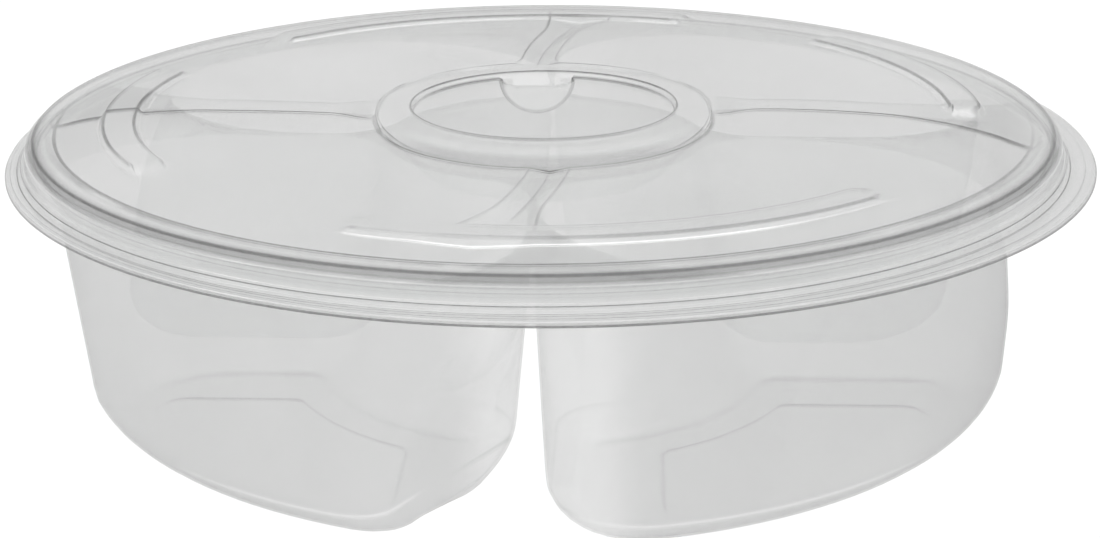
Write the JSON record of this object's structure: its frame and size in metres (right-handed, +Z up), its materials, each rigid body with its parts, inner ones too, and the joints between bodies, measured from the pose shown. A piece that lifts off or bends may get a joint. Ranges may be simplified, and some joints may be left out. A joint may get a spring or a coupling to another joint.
{
  "type": "compartment food tray with lid",
  "caption": "Round clear food tray with deep sector-shaped compartments, a wide flange and a press-fit lobed lid with a centre ring.",
  "frame": {"origin": "centre of the round flange, on the plane the compartment floors rest on", "axes": "+Z up, the way the lid lifts off; -Y the front, where the land between two compartments faces; +X the side where the flange's lip is widest"},
  "size_m": [0.2998, 0.2998, 0.0782],
  "materials": {
    "clear_tray": "clear thermoformed sheet, smooth and glossy",
    "clear_lid": "clear thermoformed sheet, smooth and glossy"
  },
  "bodies": {
    "tray": {"compartment_tray": "clear_tray"},
    "lid": {"snap_lid": "clear_lid"}
  },
  "joints": [
    {"name": "lid_lift", "type": "slide", "parent": "tray", "child": "lid", "axis": [0, 0, 1], "range_m": [0, 0.1]}
  ]
}
